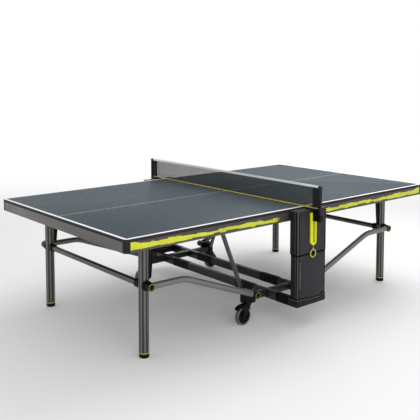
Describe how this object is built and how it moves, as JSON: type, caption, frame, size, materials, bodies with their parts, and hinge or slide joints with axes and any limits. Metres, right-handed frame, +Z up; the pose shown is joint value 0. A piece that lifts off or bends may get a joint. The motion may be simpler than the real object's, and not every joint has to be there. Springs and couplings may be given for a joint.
{
  "type": "table tennis table",
  "caption": "Folding table tennis table with legs, stays and a wheeled undercarriage, side cabinets with ball stores, a release handle and a net.",
  "frame": {"origin": "on the floor at the centre of the table", "axes": "+X along the playing length, +Y across it from the side with the release handle to the other side, +Z up"},
  "size_m": [2.74, 1.846, 0.9125],
  "materials": {
    "playing_surface": "satin paint",
    "rail": "satin",
    "end_rail": "satin",
    "corner": "fine texture",
    "leg": "satin",
    "tube": "satin",
    "beam": "satin",
    "black_plastic": "fine texture",
    "cabinet": "fine texture",
    "steel": "brushed",
    "yellow": "satin",
    "net": "woven",
    "tape": "woven",
    "tyre": "matt"
  },
  "bodies": {
    "undercarriage": {"cross_beam_left": "beam", "cross_beam_right": "beam", "end_tube_near": "beam", "cabinet_base_near": "cabinet", "cabinet_upper_near": "cabinet", "cabinet_lower_near": "cabinet", "net_post_near": "corner", "end_tube_far": "beam", "cabinet_base_far": "cabinet", "cabinet_upper_far": "cabinet", "cabinet_lower_far": "cabinet", "net_post_far": "corner", "release_handle": "yellow", "net_mesh": "net", "net_tape": "tape"},
    "castor_left_near": {"castor_fork_left_near": "black_plastic"},
    "wheel_left_near": {"castor_wheel_left_near": "tyre"},
    "brake_left_near": {"castor_brake_left_near": "black_plastic"},
    "castor_left_far": {"castor_fork_left_far": "black_plastic"},
    "wheel_left_far": {"castor_wheel_left_far": "tyre"},
    "castor_right_near": {"castor_fork_right_near": "black_plastic"},
    "wheel_right_near": {"castor_wheel_right_near": "tyre"},
    "brake_right_near": {"castor_brake_right_near": "black_plastic"},
    "castor_right_far": {"castor_fork_right_far": "black_plastic"},
    "wheel_right_far": {"castor_wheel_right_far": "tyre"},
    "door_near": {"store_door_near": "cabinet"},
    "door_far": {"store_door_far": "cabinet"},
    "pull": {"pull_ring": "yellow"},
    "left_guides": {"left_guide_shaft": "steel"},
    "left_top": {"left_board": "playing_surface", "left_end_rail": "end_rail", "left_side_rail_near": "rail", "left_side_rail_far": "rail", "left_leg_beam": "beam", "left_strut_beam": "beam"},
    "left_legs": {"left_leg_near": "leg", "left_leg_far": "leg", "left_leg_crossbar": "leg"},
    "left_stays": {"left_stay_near": "tube", "left_stay_far": "tube"},
    "left_struts": {"left_strut_near": "leg", "left_strut_far": "leg"},
    "foot_body_left_near": {"foot_left_near": "black_plastic"},
    "foot_body_left_far": {"foot_left_far": "black_plastic"},
    "right_guides": {"right_guide_shaft": "steel"},
    "right_top": {"right_board": "playing_surface", "right_end_rail": "end_rail", "right_side_rail_near": "rail", "right_side_rail_far": "rail", "right_leg_beam": "beam", "right_strut_beam": "beam"},
    "right_legs": {"right_leg_near": "leg", "right_leg_far": "leg", "right_leg_crossbar": "leg"},
    "right_stays": {"right_stay_near": "tube", "right_stay_far": "tube"},
    "right_struts": {"right_strut_near": "leg", "right_strut_far": "leg"},
    "foot_body_right_near": {"foot_right_near": "black_plastic"},
    "foot_body_right_far": {"foot_right_far": "black_plastic"}
  },
  "joints": [
    {"name": "swivel_left_near", "type": "hinge", "parent": "undercarriage", "child": "castor_left_near", "pos_m": [-0.312, -0.5675, 0.14], "axis": [0, 0, 1], "continuous": true},
    {"name": "roll_left_near", "type": "hinge", "parent": "castor_left_near", "child": "wheel_left_near", "pos_m": [-0.347, -0.5675, 0.06], "axis": [0, 1, 0], "continuous": true},
    {"name": "brake_press_left_near", "type": "hinge", "parent": "castor_left_near", "child": "brake_left_near", "pos_m": [-0.358, -0.5675, 0.128], "axis": [0, -1, 0], "range_deg": [0, 8]},
    {"name": "swivel_left_far", "type": "hinge", "parent": "undercarriage", "child": "castor_left_far", "pos_m": [-0.312, 0.5675, 0.14], "axis": [0, 0, 1], "continuous": true},
    {"name": "roll_left_far", "type": "hinge", "parent": "castor_left_far", "child": "wheel_left_far", "pos_m": [-0.347, 0.5675, 0.06], "axis": [0, 1, 0], "continuous": true},
    {"name": "swivel_right_near", "type": "hinge", "parent": "undercarriage", "child": "castor_right_near", "pos_m": [0.312, -0.5675, 0.14], "axis": [0, 0, 1], "continuous": true},
    {"name": "roll_right_near", "type": "hinge", "parent": "castor_right_near", "child": "wheel_right_near", "pos_m": [0.347, -0.5675, 0.06], "axis": [0, 1, 0], "continuous": true},
    {"name": "brake_press_right_near", "type": "hinge", "parent": "castor_right_near", "child": "brake_right_near", "pos_m": [0.358, -0.5675, 0.128], "axis": [0, 1, 0], "range_deg": [0, 8]},
    {"name": "swivel_right_far", "type": "hinge", "parent": "undercarriage", "child": "castor_right_far", "pos_m": [0.312, 0.5675, 0.14], "axis": [0, 0, 1], "continuous": true},
    {"name": "roll_right_far", "type": "hinge", "parent": "castor_right_far", "child": "wheel_right_far", "pos_m": [0.347, 0.5675, 0.06], "axis": [0, 1, 0], "continuous": true},
    {"name": "door_hinge_near", "type": "hinge", "parent": "undercarriage", "child": "door_near", "pos_m": [-0.1158, -0.845, 0.31], "axis": [0, 0, -1], "range_deg": [0, 110]},
    {"name": "door_hinge_far", "type": "hinge", "parent": "undercarriage", "child": "door_far", "pos_m": [0.1158, 0.845, 0.31], "axis": [0, 0, -1], "range_deg": [0, 110]},
    {"name": "pull_slide", "type": "slide", "parent": "undercarriage", "child": "pull", "axis": [0, 0, -1], "range_m": [0, 0.025], "stiffness_N_per_m": 300, "springref_m": -0.01},
    {"name": "left_guide_slide", "type": "slide", "parent": "undercarriage", "child": "left_guides", "axis": [-0.1423, 0, -0.9898], "range_m": [0, 0.5062]},
    {"name": "left_fold", "type": "hinge", "parent": "left_guides", "child": "left_top", "pos_m": [-0.025, 0, 0.728], "axis": [0, 1, 0], "range_deg": [0, 90]},
    {"name": "left_leg_hinge", "type": "hinge", "parent": "left_top", "child": "left_legs", "pos_m": [-1.1, 0, 0.672], "axis": [0, 1, 0], "range_deg": [-90, 0]},
    {"name": "left_strut_hinge", "type": "hinge", "parent": "left_top", "child": "left_struts", "pos_m": [-0.515, 0, 0.705], "axis": [0, 1, 0], "range_deg": [-47.6, 0]},
    {"name": "left_stay_hinge", "type": "hinge", "parent": "undercarriage", "child": "left_stays", "pos_m": [-0.289, 0, 0.2], "axis": [0, 1, 0], "range_deg": [0, 82.5]},
    {"name": "foot_turn_left_near", "type": "hinge", "parent": "left_legs", "child": "foot_body_left_near", "pos_m": [-1.122, -0.567, 0.02], "axis": [0, 0, 1], "continuous": true},
    {"name": "foot_turn_left_far", "type": "hinge", "parent": "left_legs", "child": "foot_body_left_far", "pos_m": [-1.122, 0.567, 0.02], "axis": [0, 0, 1], "continuous": true},
    {"name": "right_guide_slide", "type": "slide", "parent": "undercarriage", "child": "right_guides", "axis": [0.1423, 0, -0.9898], "range_m": [0, 0.5062]},
    {"name": "right_fold", "type": "hinge", "parent": "right_guides", "child": "right_top", "pos_m": [0.025, 0, 0.728], "axis": [0, -1, 0], "range_deg": [0, 90]},
    {"name": "right_leg_hinge", "type": "hinge", "parent": "right_top", "child": "right_legs", "pos_m": [1.1, 0, 0.672], "axis": [0, -1, 0], "range_deg": [-90, 0]},
    {"name": "right_strut_hinge", "type": "hinge", "parent": "right_top", "child": "right_struts", "pos_m": [0.515, 0, 0.705], "axis": [0, -1, 0], "range_deg": [-47.6, 0]},
    {"name": "right_stay_hinge", "type": "hinge", "parent": "undercarriage", "child": "right_stays", "pos_m": [0.289, 0, 0.2], "axis": [0, -1, 0], "range_deg": [0, 82.5]},
    {"name": "foot_turn_right_near", "type": "hinge", "parent": "right_legs", "child": "foot_body_right_near", "pos_m": [1.122, -0.567, 0.02], "axis": [0, 0, 1], "continuous": true},
    {"name": "foot_turn_right_far", "type": "hinge", "parent": "right_legs", "child": "foot_body_right_far", "pos_m": [1.122, 0.567, 0.02], "axis": [0, 0, 1], "continuous": true}
  ],
  "couplings": [
    {"joint": "left_guide_slide", "follows": "left_fold", "m_per_rad": 0.32222},
    {"joint": "left_leg_hinge", "follows": "left_fold", "ratio": -1},
    {"joint": "left_strut_hinge", "follows": "left_fold", "ratio": -0.5288},
    {"joint": "left_stay_hinge", "follows": "left_fold", "ratio": 0.9164},
    {"joint": "right_guide_slide", "follows": "right_fold", "m_per_rad": 0.32222},
    {"joint": "right_leg_hinge", "follows": "right_fold", "ratio": -1},
    {"joint": "right_strut_hinge", "follows": "right_fold", "ratio": -0.5288},
    {"joint": "right_stay_hinge", "follows": "right_fold", "ratio": 0.9164}
  ]
}
